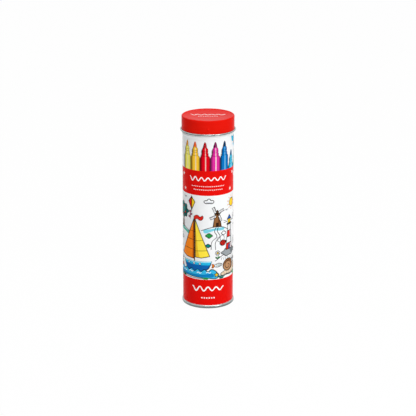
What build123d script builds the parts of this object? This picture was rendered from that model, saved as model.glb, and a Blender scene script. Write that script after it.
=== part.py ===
from build123d import *
import os
from math import cos, radians, sin, sqrt

# A round tinplate tube with a slip lid, holding ten capped felt-tip pens that stand on its base.
# Millimetres. +Z is up, the tube's axis is the Z axis, and the origin is the middle of the ring it stands on.
# The printed front faces -Y, and the tube's side seam is at the back, at +Y.

# Pens, from the foot up
pen_colours = (
    "yellow", "golden", "red", "magenta", "blue",
    "cyan", "green", "lime", "brown", "black",
)
plug_flange_height = 1.2
plug_flange_step = 0.3  # from the barrel's side in to the flange's
plug_spigot_length = 7.0
plug_recess_radius = 2.4
plug_recess_depth = 3.0
barrel_radius = 4.2
barrel_wall = 0.85
barrel_length = 126.8
shoulder_height = 2.2
neck_radius = 2.5
neck_length = 4.0
groove_depth = 0.3
groove_height = 0.5
nose_radius = 1.95
nose_length = 2.9
nose_floor_depth = 3.2  # from the shoulder's foot down to where the barrel's bore ends
nib_radius = 1.1
nib_show = 4.5
nib_tip_radius = 0.45
nib_in_reservoir = 6.0
cap_wall = 0.6
cap_taper = 0.2
cap_overlap = 9.0  # how far the cap comes down over the barrel
cap_seal_height = 3.0
cap_chamber_step = 0.44  # from the seal ring's bore out to the chamber's wall
cap_web = 1.2
cap_head_height = 8.8  # open head above the closed chamber
cap_rib_width = 0.9
cap_rib_depth = 3.0  # how far the cross rib stays below the cap's top
cap_edge_round = 0.25

# Fits inside a pen
plug_fit = 0.05
nib_fit = 0.05
reservoir_fit = 0.15
reservoir_slack = 0.5
cap_fit = 0.1
seal_fit = 0.06
seal_lift = 0.4  # from the shoulder's top to the cap's seal ring
nib_headroom = 2.0  # from the nib's tip to the chamber's roof

# How the pens stand in the tube: a pair in the middle and the others in a ring round it
middle_gap = 0.6  # between the caps of the middle pair
ring_gap = 0.59  # between the caps of the middle pair and those of the ring
wall_gap = 1.378  # between a cap and the tube's wall
stand_gap = 0.1  # between a pen's foot and the base panel
pen_play = 7.0  # free height between the caps and the lid

# Tinplate tube, base and lid
tin = 0.22
seam_gap = 0.04
seam_height = 2.6
seam_round = 0.2
hook_play = 0.15  # between the end of each hook and the fold it points at
panel_depth = 3.2  # the base panel's top, above the surface the tube stands on
panel_bead_inset = 2.85  # from the panel's edge in to the middle of its bead
panel_bead_width = 1.6
panel_bead_depth = 0.4
body_bead_drop = 14.5  # from the lid's top to the middle of the body's bead
body_bead_width = 2.4
body_bead_height = 0.3
hem_height = 2.6
hem_fold = 0.05
rim_gap = 0.1  # between the tube's rim and the lid's panel
side_seam_width = 3.2
side_seam_fold = 0.44
side_seam_drop = 4.0  # how far below the rim the side seam's fold ends
lid_clearance = 0.2
lid_skirt_drop = 11.9  # from the lid's top to the middle of its curl
lid_curl_radius = 0.7
lid_curl_turn = 300.0
lid_corner_radius = 0.9
lid_step_inset = 1.8  # from the lid's side in to the foot of its panel's step
lid_step_width = 0.4
lid_step_depth = 0.35
pip_count = 3
pip_drop = 7.5  # from the lid's top to the middle of its pips
pip_sphere_radius = 0.85
pip_height = 0.45

# Places and sizes worked out from those above
barrel_bore = barrel_radius - barrel_wall
cap_bore = barrel_radius + cap_fit
cap_radius = cap_bore + cap_wall
pen_foot = panel_depth + stand_gap
barrel_foot = pen_foot + plug_flange_height
shoulder_foot = barrel_foot + barrel_length
neck_foot = shoulder_foot + shoulder_height
groove_foot = neck_foot + neck_length
nose_foot = groove_foot + groove_height
nose_top = nose_foot + nose_length
bore_top = shoulder_foot - nose_floor_depth
nib_bore = nib_radius + nib_fit
nib_tip = nose_top + nib_show
cap_mouth = shoulder_foot - cap_overlap
seal_foot = neck_foot + seal_lift
seal_top = seal_foot + cap_seal_height
chamber_roof = nib_tip + nib_headroom
cap_floor = chamber_roof + cap_web
cap_top = cap_floor + cap_head_height
middle_offset = cap_radius + middle_gap / 2
ring_pens = len(pen_colours) - 2
ring_step = 360 / ring_pens
ring_spread = 2 * cap_radius + ring_gap
ring_side = middle_offset * sin(radians(ring_step / 2))
ring_radius = middle_offset * cos(radians(ring_step / 2)) + sqrt(ring_spread**2 - ring_side**2)
body_bore = ring_radius + cap_radius + wall_gap
body_radius = body_bore + tin
lid_top = cap_top + pen_play + lid_step_depth + tin
rim_top = lid_top - tin - rim_gap
hem_radius = body_radius + tin + hem_fold
cover_hook_bore = body_radius + seam_gap
body_hook_bore = cover_hook_bore + tin + seam_gap
body_hook_radius = body_hook_bore + tin
seam_radius = body_hook_radius + seam_gap + tin
chuck_radius = body_bore - seam_gap
panel_bead_radius = chuck_radius - panel_bead_inset
lid_bore = hem_radius + lid_clearance
lid_radius = lid_bore + tin
lid_step_radius = lid_radius - lid_step_inset
curl_middle = lid_top - lid_skirt_drop


def turned(*edges):
    """A solid of revolution about Z, from the edges of a closed outline in radius and height."""
    return revolve(Plane.XZ * make_face(edges), Axis.Z)


def outline(*points):
    """A closed outline of straight edges through the points, each a radius and a height."""
    return Polyline(*points, close=True).edges()


def bulge(radius, height, width, out):
    """An arc that leaves a wall at a radius and comes back to it, from height - width/2 upwards."""
    return ThreePointArc((radius, height - width / 2), (radius + out, height), (radius, height + width / 2))


def make_tube_body():
    """The printed cylinder: hook for the double seam, bead under the lid, rolled-over hem and side seam."""
    web_foot = tin + seam_gap
    web_top = web_foot + tin
    hook_top = seam_height - tin - seam_gap - hook_play
    bead = lid_top - body_bead_drop
    bead_foot, bead_head = bead - body_bead_width / 2, bead + body_bead_width / 2
    hem_foot = rim_top - hem_height
    hem_round = (hem_radius - body_bore) / 2
    rim_side = rim_top - hem_round
    shell = turned(
        Polyline(
            (body_bore, bead_foot), (body_bore, web_foot), (body_hook_radius, web_foot),
            (body_hook_radius, hook_top), (body_hook_bore, hook_top), (body_hook_bore, web_top),
            (body_radius, web_top), (body_radius, bead_foot),
        ),
        bulge(body_radius, bead, body_bead_width, body_bead_height),
        Polyline((body_radius, bead_head), (body_radius, hem_foot), (hem_radius, hem_foot), (hem_radius, rim_side)),
        ThreePointArc((hem_radius, rim_side), (body_bore + hem_round, rim_top), (body_bore, rim_side)),
        Line((body_bore, rim_side), (body_bore, bead_head)),
        bulge(body_bore, bead, body_bead_width, body_bead_height),
    )
    seam_foot = panel_depth
    seam_length = rim_top - side_seam_drop - seam_foot
    ring = Cylinder(body_bore + tin / 2, seam_length) - Cylinder(body_bore - side_seam_fold, seam_length)
    strip = ring & Pos(0, body_bore, 0) * Box(side_seam_width, 4 * side_seam_fold, seam_length)
    return shell + Pos(0, 0, seam_foot + seam_length / 2) * strip


def make_base_end():
    """The base: a sunk panel, its chuck wall, and the channel that closes over the tube's hook."""
    hook_foot = 2 * tin + 2 * seam_gap + hook_play
    leg_bore = seam_radius - tin
    chuck_bore = chuck_radius - tin
    bead_out = panel_bead_radius + panel_bead_width / 2
    bead_in = panel_bead_radius - panel_bead_width / 2
    panel_foot = panel_depth - tin

    def panel_bead(height, start, end):
        return ThreePointArc((start, height), (panel_bead_radius, height - panel_bead_depth), (end, height))

    return turned(
        Line((chuck_bore, panel_foot), (chuck_bore, seam_round)),
        RadiusArc((chuck_bore, seam_round), (chuck_bore + seam_round, 0), -seam_round),
        Line((chuck_bore + seam_round, 0), (seam_radius - seam_round, 0)),
        RadiusArc((seam_radius - seam_round, 0), (seam_radius, seam_round), -seam_round),
        Line((seam_radius, seam_round), (seam_radius, seam_height - seam_round)),
        RadiusArc((seam_radius, seam_height - seam_round), (seam_radius - seam_round, seam_height), -seam_round),
        Polyline(
            (seam_radius - seam_round, seam_height), (cover_hook_bore, seam_height), (cover_hook_bore, hook_foot),
            (cover_hook_bore + tin, hook_foot), (cover_hook_bore + tin, seam_height - tin),
            (leg_bore, seam_height - tin), (leg_bore, tin), (chuck_radius, tin),
            (chuck_radius, panel_depth), (bead_out, panel_depth),
        ),
        panel_bead(panel_depth, bead_out, bead_in),
        Polyline((bead_in, panel_depth), (0, panel_depth), (0, panel_foot), (bead_in, panel_foot)),
        panel_bead(panel_foot, bead_in, bead_out),
        Line((bead_out, panel_foot), (chuck_bore, panel_foot)),
    )


def make_lid():
    """The drawn lid: stepped panel, rounded corner, skirt, outward curl and pressed-out pips."""
    floor = lid_top - lid_step_depth
    inner_corner = lid_corner_radius - tin
    step_out = lid_step_radius + lid_step_width
    shell = turned(
        Polyline((0, floor - tin), (0, floor), (lid_step_radius, floor), (step_out, lid_top),
                 (lid_radius - lid_corner_radius, lid_top)),
        RadiusArc((lid_radius - lid_corner_radius, lid_top), (lid_radius, lid_top - lid_corner_radius),
                  lid_corner_radius),
        Polyline((lid_radius, lid_top - lid_corner_radius), (lid_radius, curl_middle), (lid_bore, curl_middle),
                 (lid_bore, lid_top - lid_corner_radius)),
        RadiusArc((lid_bore, lid_top - lid_corner_radius), (lid_bore - inner_corner, lid_top - tin), -inner_corner),
        Polyline((lid_bore - inner_corner, lid_top - tin), (step_out, lid_top - tin),
                 (lid_step_radius, floor - tin), (0, floor - tin)),
    )
    middle = (lid_bore + lid_curl_radius, curl_middle)
    outer = CenterArc(middle, lid_curl_radius, 180, lid_curl_turn)
    inner = CenterArc(middle, lid_curl_radius - tin, 180, lid_curl_turn)
    curl = turned(outer, inner, Line(outer @ 0, inner @ 0), Line(outer @ 1, inner @ 1))
    lid = shell + curl
    bore = Pos(0, 0, lid_top - pip_drop) * Cylinder(lid_bore, 4 * pip_sphere_radius)
    for turn in range(pip_count):
        place = (
            Rot(0, 0, turn * 360 / pip_count)
            * Pos(0, -(lid_radius + pip_height - pip_sphere_radius), lid_top - pip_drop)
        )
        dome = place * Sphere(pip_sphere_radius) - bore
        lid = lid + dome - place * Sphere(pip_sphere_radius - tin)
    return lid


def make_barrel():
    """A pen's barrel: tube, rounded shoulder, grooved neck and the nose that holds the nib."""
    shoulder_width = barrel_radius - neck_radius
    groove_radius = nose_radius - groove_depth
    halfway = radians(45)
    shoulder_middle = (
        neck_radius + shoulder_width * cos(halfway),
        shoulder_foot + shoulder_height * sin(halfway),
    )
    return turned(
        Polyline((barrel_bore, barrel_foot), (barrel_radius, barrel_foot), (barrel_radius, shoulder_foot)),
        ThreePointArc((barrel_radius, shoulder_foot), shoulder_middle, (neck_radius, neck_foot)),
        Polyline((neck_radius, neck_foot), (neck_radius, groove_foot), (groove_radius, groove_foot),
                 (groove_radius, nose_foot), (nose_radius, nose_foot), (nose_radius, nose_top), (nib_bore, nose_top),
                 (nib_bore, bore_top + barrel_bore - nib_bore), (barrel_bore, bore_top), (barrel_bore, barrel_foot)),
    )


def make_end_plug():
    """The plug that closes a barrel's foot: flange, spigot and a recess below."""
    spigot_radius = barrel_bore - plug_fit
    spigot_top = barrel_foot + plug_spigot_length
    flange_radius = barrel_radius - plug_flange_step
    return turned(*outline(
        (0, pen_foot + plug_recess_depth), (plug_recess_radius, pen_foot + plug_recess_depth),
        (plug_recess_radius, pen_foot), (flange_radius, pen_foot), (flange_radius, barrel_foot),
        (spigot_radius, barrel_foot), (spigot_radius, spigot_top), (0, spigot_top),
    ))


def make_nib():
    """The fibre nib: a rod from the reservoir to the nose, and the bullet point that shows."""
    tail = bore_top - reservoir_slack - nib_in_reservoir
    tip_middle = nib_tip - nib_tip_radius
    return turned(
        Polyline((0, tip_middle + nib_tip_radius), (0, tail), (nib_radius, tail), (nib_radius, nose_top),
                 (nib_tip_radius, tip_middle)),
        RadiusArc((nib_tip_radius, tip_middle), (0, tip_middle + nib_tip_radius), -nib_tip_radius),
    )


def make_reservoir():
    """The fibre rod that holds the ink, with the hole that the nib's tail sits in."""
    radius = barrel_bore - reservoir_fit
    foot = barrel_foot + plug_spigot_length + reservoir_slack
    head = bore_top - reservoir_slack
    hole_floor = head - nib_in_reservoir - nib_fit
    return turned(*outline(
        (0, foot), (radius, foot), (radius, head),
        (nib_bore, head), (nib_bore, hole_floor), (0, hole_floor),
    ))


def make_cap():
    """A pen's cap: sleeve over the barrel, seal ring, closed nib chamber and an open head with a cross rib."""
    top_radius = cap_radius - cap_taper
    head_bore = top_radius - cap_wall
    seal_bore = neck_radius + seal_fit
    chamber_radius = seal_bore + cap_chamber_step
    edge_foot = cap_top - cap_edge_round
    edge_radius = top_radius - cap_edge_round
    sleeve = turned(
        Polyline((cap_bore, cap_mouth), (cap_radius, cap_mouth), (top_radius, edge_foot)),
        RadiusArc((top_radius, edge_foot), (edge_radius, cap_top), -cap_edge_round),
        Polyline((edge_radius, cap_top), (head_bore, cap_top), (head_bore, cap_floor), (0, cap_floor),
                 (0, chamber_roof), (chamber_radius, chamber_roof), (chamber_radius, seal_top),
                 (seal_bore, seal_top), (seal_bore, seal_foot), (cap_bore, seal_foot), (cap_bore, cap_mouth)),
    )
    rib_height = cap_head_height - cap_rib_depth
    rib = Pos(0, 0, cap_floor + rib_height / 2) * Box(2 * head_bore, cap_rib_width, rib_height)
    round_rib = (rib + Rot(0, 0, 90) * rib) & Pos(0, 0, cap_floor + rib_height / 2) * Cylinder(
        head_bore + cap_edge_round, rib_height
    )
    return sleeve + round_rib


def pen_places():
    """Where each pen's axis stands: the ring along the wall, then the pair in the middle."""
    turns = [radians(ring_step * (n + 0.5)) for n in range(ring_pens)]
    ring = [(ring_radius * sin(turn), -ring_radius * cos(turn)) for turn in turns]
    return ring + [(-middle_offset, 0), (middle_offset, 0)]


def main():
    os.makedirs("parts", exist_ok=True)
    export_step(make_tube_body(), "parts/tube_body.step")
    export_step(make_base_end(), "parts/base_end.step")
    export_step(make_lid(), "parts/lid.step")
    pieces = {
        "barrel": make_barrel(),
        "end_plug": make_end_plug(),
        "nib": make_nib(),
        "ink_reservoir": make_reservoir(),
        "cap": make_cap(),
    }
    for colour, (x, y) in zip(pen_colours, pen_places()):
        for name, piece in pieces.items():
            export_step(Pos(x, y, 0) * piece, f"parts/{name}_{colour}.step")


main()
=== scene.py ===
import bpy
from math import asin, atan2, cos, degrees, hypot, pi, radians, sin, tau
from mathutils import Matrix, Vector
from random import Random


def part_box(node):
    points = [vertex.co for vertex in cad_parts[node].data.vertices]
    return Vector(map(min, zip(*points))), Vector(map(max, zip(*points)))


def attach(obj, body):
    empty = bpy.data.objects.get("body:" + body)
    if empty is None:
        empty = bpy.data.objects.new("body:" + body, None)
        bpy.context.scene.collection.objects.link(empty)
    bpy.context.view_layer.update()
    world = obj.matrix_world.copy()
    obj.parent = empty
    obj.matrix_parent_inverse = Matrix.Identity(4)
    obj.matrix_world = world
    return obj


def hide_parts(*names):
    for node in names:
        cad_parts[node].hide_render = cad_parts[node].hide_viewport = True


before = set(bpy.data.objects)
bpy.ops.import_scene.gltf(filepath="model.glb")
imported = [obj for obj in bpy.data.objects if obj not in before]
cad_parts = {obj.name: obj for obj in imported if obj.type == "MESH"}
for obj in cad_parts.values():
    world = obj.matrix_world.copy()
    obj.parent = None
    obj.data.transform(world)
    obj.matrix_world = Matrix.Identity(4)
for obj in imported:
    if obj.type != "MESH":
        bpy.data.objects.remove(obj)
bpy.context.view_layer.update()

# The seamed base: a sunk tinplate panel whose rim is folded with the body's foot into a double seam.
# It is bare tinplate, pressed from sheet and rolled shut, so it keeps a bright skin with fine rolling lines.
mm = 0.001
tin = 0.22 * mm
round_steps = 256
base_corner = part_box("base_end")[1]
seam_radius = base_corner.x
seam_height = 2.6 * mm
seam_edge = 0.35 * mm
seam_head_round, seam_foot_round = 0.9 * mm, 0.55 * mm
seam_inside, seam_floor, seam_hook_drop = 21.6 * mm, 0.5 * mm, 0.12 * mm
chuck_bore, chuck_foot = 21.02 * mm, 0.6 * mm
chuck_wall = chuck_bore + tin
panel_top = base_corner.z
panel_foot = panel_top - tin
panel_edge = 0.2 * mm
panel_bead = 18.39 * mm
panel_bead_half = 0.8 * mm
panel_bead_depth = 0.4 * mm


def arc(middle, radius, start, end, steps):
    """Points round a middle from one angle to another, in degrees, in radius and height."""
    turns = (radians(start + (end - start) * n / steps) for n in range(steps + 1))
    return [(middle[0] + radius * cos(turn), middle[1] + radius * sin(turn)) for turn in turns]


def mode(kind):
    """Puts the active object in edit or object mode."""
    bpy.ops.object.mode_set(mode=kind)


def alone(piece):
    """Selects one object, and makes it the one that operators act on."""
    bpy.ops.object.select_all(action="DESELECT")
    piece.select_set(True)
    bpy.context.view_layer.objects.active = piece


def turned(name, section, steps=round_steps):
    """Spins the closed outline of a section, given in radius and height, round the Z axis into a shell."""
    bpy.ops.mesh.primitive_circle_add(vertices=len(section), fill_type="NOTHING")
    piece = bpy.context.object
    piece.name = piece.data.name = name
    for corner, (radius, height) in zip(piece.data.vertices, section):
        corner.co = (radius, 0, height)
    mode("EDIT")
    bpy.ops.mesh.select_mode(type="EDGE")
    bpy.ops.mesh.select_all(action="DESELECT")
    mode("OBJECT")
    on_axis = [radius < 1e-9 for radius, height in section]
    for edge in piece.data.edges:
        edge.select = all(on_axis[corner] for corner in edge.vertices)
    mode("EDIT")
    if any(on_axis):
        bpy.ops.mesh.delete(type="EDGE")
    bpy.ops.mesh.select_all(action="SELECT")
    bpy.ops.mesh.spin(steps=steps, angle=tau, center=(0, 0, 0), axis=(0, 0, 1))
    bpy.ops.mesh.select_all(action="SELECT")
    bpy.ops.mesh.remove_doubles(threshold=1e-6)
    bpy.ops.mesh.normals_make_consistent(inside=False)
    mode("OBJECT")
    return piece


def soften(piece):
    """Smooth shading, except across edges sharper than 30 degrees."""
    alone(piece)
    bpy.ops.object.shade_smooth_by_angle(angle=radians(30))


def colour(code):
    """An sRGB hex colour as linear red, green, blue and alpha."""
    parts = [int(code[n:n + 2], 16) / 255 for n in (1, 3, 5)]
    return [part / 12.92 if part <= 0.04045 else ((part + 0.055) / 1.055) ** 2.4 for part in parts] + [1]


def node(material, kind, links=None, **settings):
    """Adds a node: settings are its own or its inputs' values, and links join its inputs to outputs."""
    made = material.node_tree.nodes.new(kind)
    for name, value in settings.items():
        socket = next((s for s in made.inputs if s.name.replace(" ", "_").lower() == name), None)
        if socket is None:
            setattr(made, name, value)
        else:
            socket.default_value = value
    for name, source in (links or {}).items():
        material.node_tree.links.new(source, made.inputs[name])
    return made


def new_finish(name):
    """A new material that holds only its output node, with that node and the Object coordinates."""
    material = bpy.data.materials.new(name)
    material.use_nodes = True
    material.node_tree.nodes.clear()
    output = node(material, "ShaderNodeOutputMaterial")
    return material, output, node(material, "ShaderNodeTexCoord").outputs["Object"]


# Rolled tinplate: bright metal, slightly green in its greys. Rolling leaves fine lines and handling leaves
# faint dull patches, so the reflection breaks up a little. The greys are scaled by which way a face points:
# painted shade on what faces down, and a painted highlight on what faces up.
tinplate, output, place = new_finish("Rolled tinplate")
patches = node(tinplate, "ShaderNodeTexNoise", {"Vector": place}, scale=1 / (9 * mm), detail=3.0)
dulling = node(tinplate, "ShaderNodeMapRange", {"Value": patches.outputs["Fac"]}, to_min=0.2, to_max=0.34)
stretched = node(tinplate, "ShaderNodeMapping", {"Vector": place}, scale=(1, 1, 14))
rolling = node(
    tinplate, "ShaderNodeTexNoise", {"Vector": stretched.outputs[0]}, scale=1 / (2.4 * mm), detail=4.0,
)
lines = node(
    tinplate, "ShaderNodeBump", {"Height": rolling.outputs["Fac"]}, strength=0.08, distance=0.05 * mm,
)
streaks = node(
    tinplate, "ShaderNodeMapRange", {"Value": rolling.outputs["Fac"]}, from_min=0.35, from_max=0.65,
)
greys = node(
    tinplate, "ShaderNodeMixRGB", {"Fac": streaks.outputs[0]},
    color1=colour("#8A9696"), color2=colour("#B2BCBA"),
)
outward = node(tinplate, "ShaderNodeNewGeometry").outputs["Normal"]
facing = node(tinplate, "ShaderNodeSeparateXYZ", {0: outward})
# Painted shade and highlight: faces pointing down are darkened to 0.22, faces pointing up brightened to 1.2.
painted_light_by_facing = node(
    tinplate, "ShaderNodeMapRange", {"Value": facing.outputs["Z"]},
    from_min=-0.3, from_max=0.5, to_min=0.22, to_max=1.2,
)
greys_with_painted_light = node(
    tinplate, "ShaderNodeVectorMath",
    {"Vector": greys.outputs[0], "Scale": painted_light_by_facing.outputs[0]}, operation="SCALE",
)
metal = node(
    tinplate, "ShaderNodeBsdfPrincipled",
    {"Base Color": greys_with_painted_light.outputs[0], "Roughness": dulling.outputs[0], "Normal": lines.outputs[0]},
    metallic=1.0,
)
tinplate.node_tree.links.new(metal.outputs[0], output.inputs["Surface"])

bead_turns = [radians(turn) for turn in range(0, 181, 20)]
bead = [(panel_bead + panel_bead_half * cos(turn), -panel_bead_depth * sin(turn)) for turn in bead_turns]
seamed_base = turned(
    "seamed_base",
    [(0, panel_foot), (0, panel_top)]
    + [(radius, panel_top + drop) for radius, drop in reversed(bead)]
    + [(chuck_wall - panel_edge, panel_top), (chuck_wall, panel_top - panel_edge), (chuck_wall, chuck_foot)]
    + [(seam_inside, seam_floor), (seam_inside, seam_height - seam_hook_drop)]
    + arc((seam_radius - seam_head_round, seam_height - seam_head_round), seam_head_round, 90, 0, 8)
    + arc((seam_radius - seam_foot_round, seam_foot_round), seam_foot_round, 0, -90, 6)
    + arc((chuck_bore + seam_edge, seam_edge), seam_edge, -90, -180, 6)
    + [(chuck_bore, panel_foot - panel_edge), (chuck_bore - panel_edge, panel_foot)]
    + [(radius, panel_foot + drop) for radius, drop in bead],
)
soften(seamed_base)
seamed_base.data.materials.append(tinplate)
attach(seamed_base, "tube")
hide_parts("base_end")


# The tube's body: a cylinder of tinplate with a lock seam up its back, lacquered white and printed outside.
# It is rolled from flat sheet, beaded under the lid, and its rim is folded out into a hem of bare tin.
body_radius = 21.5 * mm
body_bore = body_radius - tin
body_foot = 0.6 * mm
rim_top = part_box("tube_body")[1].z
rim_round = 0.245 * mm
hem_foot = rim_top - 2.6 * mm
hem_radius = body_bore + 2 * rim_round
hem_edge = 0.1 * mm
bead_middle = 150.47 * mm
bead_half = 1.0 * mm
bead_out = 0.36 * mm
hair = 0.01 * mm
lock_seam_half = 1.6 * mm
lock_seam_foot = panel_top
lock_seam_head = 160.65 * mm
lock_seam_fold = 0.22 * mm
lock_seam_groove = 0.09 * mm


def bulge(radius, middle, half, out, steps=10):
    """A shallow arc on a wall, from below its middle to above it, with its top out from the wall."""
    curve = (half ** 2 + out ** 2) / (2 * out)
    lean = degrees(asin(half / curve))
    return arc((radius + out - curve, middle), curve, -lean, lean, steps)


def pick(piece, wanted):
    """Selects the faces whose middle and normal answer to a test, and leaves the object in edit mode."""
    alone(piece)
    mode("EDIT")
    bpy.ops.mesh.select_mode(type="FACE")
    bpy.ops.mesh.select_all(action="DESELECT")
    mode("OBJECT")
    for face in piece.data.polygons:
        face.select = wanted(face.center, face.normal)
    mode("EDIT")


def finish_faces(piece, finishes, other_side):
    """Gives a piece its outside and inside finish, the second to the faces that answer to a test."""
    for finish in finishes:
        piece.data.materials.append(finish)
    pick(piece, other_side)
    piece.active_material_index = 1
    bpy.ops.object.material_slot_assign()
    mode("OBJECT")


def coat(material, output, place, base, pattern, glosses, grain, shine=0.03):
    """A rolled-on coat: a colour, a roughness that wanders with a pattern, and a texture's grain in metres.

    The shine is kept low, because the real tin hardly mirrors the white room that it stands in."""
    gloss = node(material, "ShaderNodeMapRange", {"Value": pattern}, to_min=glosses[0], to_max=glosses[1])
    peel = node(material, "ShaderNodeTexNoise", {"Vector": place}, scale=1 / grain, detail=2.0)
    roller = node(
        material, "ShaderNodeBump", {"Height": peel.outputs["Fac"]}, strength=0.05, distance=0.02 * mm,
    )
    coating = node(
        material, "ShaderNodeBsdfPrincipled",
        {"Base Color": base, "Roughness": gloss.outputs[0], "Normal": roller.outputs[0]},
        ior=1.5, specular_ior_level=shine,
    )
    material.node_tree.links.new(coating.outputs[0], output.inputs["Surface"])


# White lacquer, stoved on by roller: smooth, with a faint roller texture and a tone that wanders a little.
white_lacquer, output, place = new_finish("Stoved white lacquer")
tones = node(white_lacquer, "ShaderNodeTexNoise", {"Vector": place}, scale=1 / (14 * mm), detail=2.0)
whites = node(
    white_lacquer, "ShaderNodeMixRGB", {"Fac": tones.outputs["Fac"]},
    color1=colour("#EEF0F1"), color2=colour("#F1F2F3"),
)
coat(white_lacquer, output, place, whites.outputs[0], tones.outputs["Fac"], (0.22, 0.32), 0.9 * mm)

tube_shell = turned(
    "tube_shell",
    [(body_radius, body_foot), (body_radius, lock_seam_foot)]
    + bulge(body_radius, bead_middle, bead_half, bead_out)
    + [(body_radius, hem_foot), (hem_radius - hem_edge, hem_foot), (hem_radius, hem_foot + hem_edge)]
    + arc((hem_radius - rim_round, rim_top - rim_round), rim_round, 0, 180, 12)
    + [(body_bore, lock_seam_head)]
    + bulge(body_bore, bead_middle, bead_half, bead_out)[::-1]
    + [(body_bore, lock_seam_foot), (body_bore, body_foot)],
)
pick(
    tube_shell,
    lambda middle, normal: middle.y > 0 and abs(middle.x) < lock_seam_half and normal.y < -0.5
    and lock_seam_foot < middle.z < lock_seam_head,
)
bpy.ops.mesh.extrude_region_shrink_fatten(TRANSFORM_OT_shrink_fatten={"value": lock_seam_fold})
mode("OBJECT")
for corner in tube_shell.data.vertices:
    if abs(corner.co.x) < hair and corner.co.y > body_bore + tin / 2 and corner.co.z < hem_foot:
        corner.co.y -= lock_seam_groove
finish_faces(
    tube_shell, (white_lacquer, tinplate),
    lambda middle, normal: normal.x * middle.x + normal.y * middle.y < 0 or middle.z > hem_foot - hair,
)
soften(tube_shell)
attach(tube_shell, "tube")
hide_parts("tube_body")


# The print: offset inks laid on the white sheet before it was rolled, under a clear varnish.
# Red bands, a row of felt-tip pens, white ornaments, and colouring-book drawings, half of them coloured.
# It is drawn flat, in millimetres round the tin and up it, and each layer of ink lies over the ones below.
film = 0.01
columns = 128
column = tau * body_radius / mm / columns
bands = ((2.7, 25.9), (100.6, 122.1))
band_head = bands[1][1]
seam_margin = radians(3)
band_half = body_radius / mm * (pi - seam_margin)
bold_line, fine_steps, bold_steps = 0.8, 8, 14
line_ink = "#0D0E10"
paper = "#F0F1F2"
hand = Random(5)
bpy.ops.curve.primitive_bezier_curve_add()
pen_point = bpy.context.object
pen_point.data.splines.clear()
pen_point.data.splines.new("POLY").points.add(1)
for knot, across in zip(pen_point.data.splines[0].points, (-0.5, 0.5)):
    knot.co = (across, 0, 0, 1)


def inked(piece, ink, level):
    """Lifts a flat piece to its layer, and gives it its ink: one colour, or a function of a point's place."""
    for corner in piece.data.vertices:
        corner.co.z = film * level
    layer = piece.data.color_attributes.new("ink", "FLOAT_COLOR", "CORNER")
    for loop in piece.data.loops:
        place = piece.data.vertices[loop.vertex_index].co
        layer.data[loop.index].color = ink(place) if callable(ink) else ink


def shaded(rows, stops, across=0, level=2):
    """A ribbon of ink: rows are its heights and half-widths, and stops the places and colours across it."""
    bpy.ops.mesh.primitive_grid_add(x_subdivisions=len(stops) - 1, y_subdivisions=len(rows) - 1, size=2)
    piece = bpy.context.object
    inks = {}
    for corner in piece.data.vertices:
        stop = round((corner.co.x + 1) / 2 * (len(stops) - 1))
        height, half = rows[round((corner.co.y + 1) / 2 * (len(rows) - 1))]
        corner.co.x = across + half * stops[stop][0]
        corner.co.y = height
        inks[tuple(round(part, 4) for part in corner.co.xy)] = stops[stop][1]
    inked(piece, lambda place: inks[tuple(round(part, 4) for part in place.xy)], level)
    return piece


def drawn(points, ink, level=1, width=0, soft=True, closed=True):
    """A flat curve through points: a patch of ink, or with a width a pen line that swells a little."""
    bpy.ops.curve.primitive_bezier_curve_add()
    piece = bpy.context.object
    path = piece.data
    path.dimensions = "2D"
    path.resolution_u = (fine_steps if width < bold_line else bold_steps) if soft else 1
    path.splines.clear()
    spline = path.splines.new("BEZIER")
    spline.bezier_points.add(len(points) - 1)
    spline.use_cyclic_u = closed
    for knot, place in zip(spline.bezier_points, points):
        knot.co = (*place, 0)
        knot.handle_left_type = knot.handle_right_type = "AUTO" if soft else "VECTOR"
        knot.radius = width * hand.uniform(0.85, 1.15)
    path.fill_mode = "NONE" if width else "BOTH"
    if width:
        path.bevel_mode = "OBJECT"
        path.bevel_object = pen_point
    piece["ink"] = colour(ink) if isinstance(ink, str) else ink
    piece["level"] = level
    return piece


def ellipse(x, y, across, up=None, count=8):
    """Points round an ellipse."""
    turns = [tau * n / count for n in range(count)]
    return [(x + across * cos(turn), y + (up or across) * sin(turn)) for turn in turns]


def star(x, y, size, waist=0.42):
    """The corners of a star with five arms."""
    turns = [pi / 2 + pi * n / 5 for n in range(10)]
    reach = [size * (waist if n % 2 else 1) for n in range(10)]
    return [(x + far * cos(turn), y + far * sin(turn)) for turn, far in zip(turns, reach)]


def merge(pieces):
    """Joins flat pieces of ink into one, once each has its colour and its layer."""
    bpy.ops.object.select_all(action="DESELECT")
    for piece in pieces:
        piece.select_set(True)
    bpy.context.view_layer.objects.active = pieces[0]
    bpy.ops.object.convert(target="MESH")
    for piece in pieces:
        if "ink" in piece:
            inked(piece, list(piece["ink"]), piece["level"])
            del piece["ink"], piece["level"]
    bpy.ops.object.join()
    return bpy.context.object


def sheet_of(name, pieces):
    """Flat pieces of ink as one printed sheet with a film's thickness, in metres, cut in narrow columns."""
    sheet = merge(pieces)
    sheet.name = sheet.data.name = name
    pick(sheet, lambda middle, normal: normal.z < 0)
    bpy.ops.mesh.flip_normals()
    left = min(corner[0] for corner in sheet.bound_box)
    right = max(corner[0] for corner in sheet.bound_box)
    for step in range(-columns // 2, columns // 2 + 1):
        if left < step * column < right:
            bpy.ops.mesh.select_all(action="SELECT")
            bpy.ops.mesh.bisect(plane_co=(step * column, 0, 0), plane_no=(1, 0, 0))
    mode("OBJECT")
    thickness = sheet.modifiers.new("film", "SOLIDIFY")
    thickness.thickness = film
    thickness.offset = -1
    bpy.ops.object.modifier_apply(modifier="film")
    sheet.scale = (mm, mm, mm)
    bpy.ops.object.transform_apply(location=False, rotation=False, scale=True)
    sheet.data.materials.append(litho_ink)
    return sheet


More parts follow.
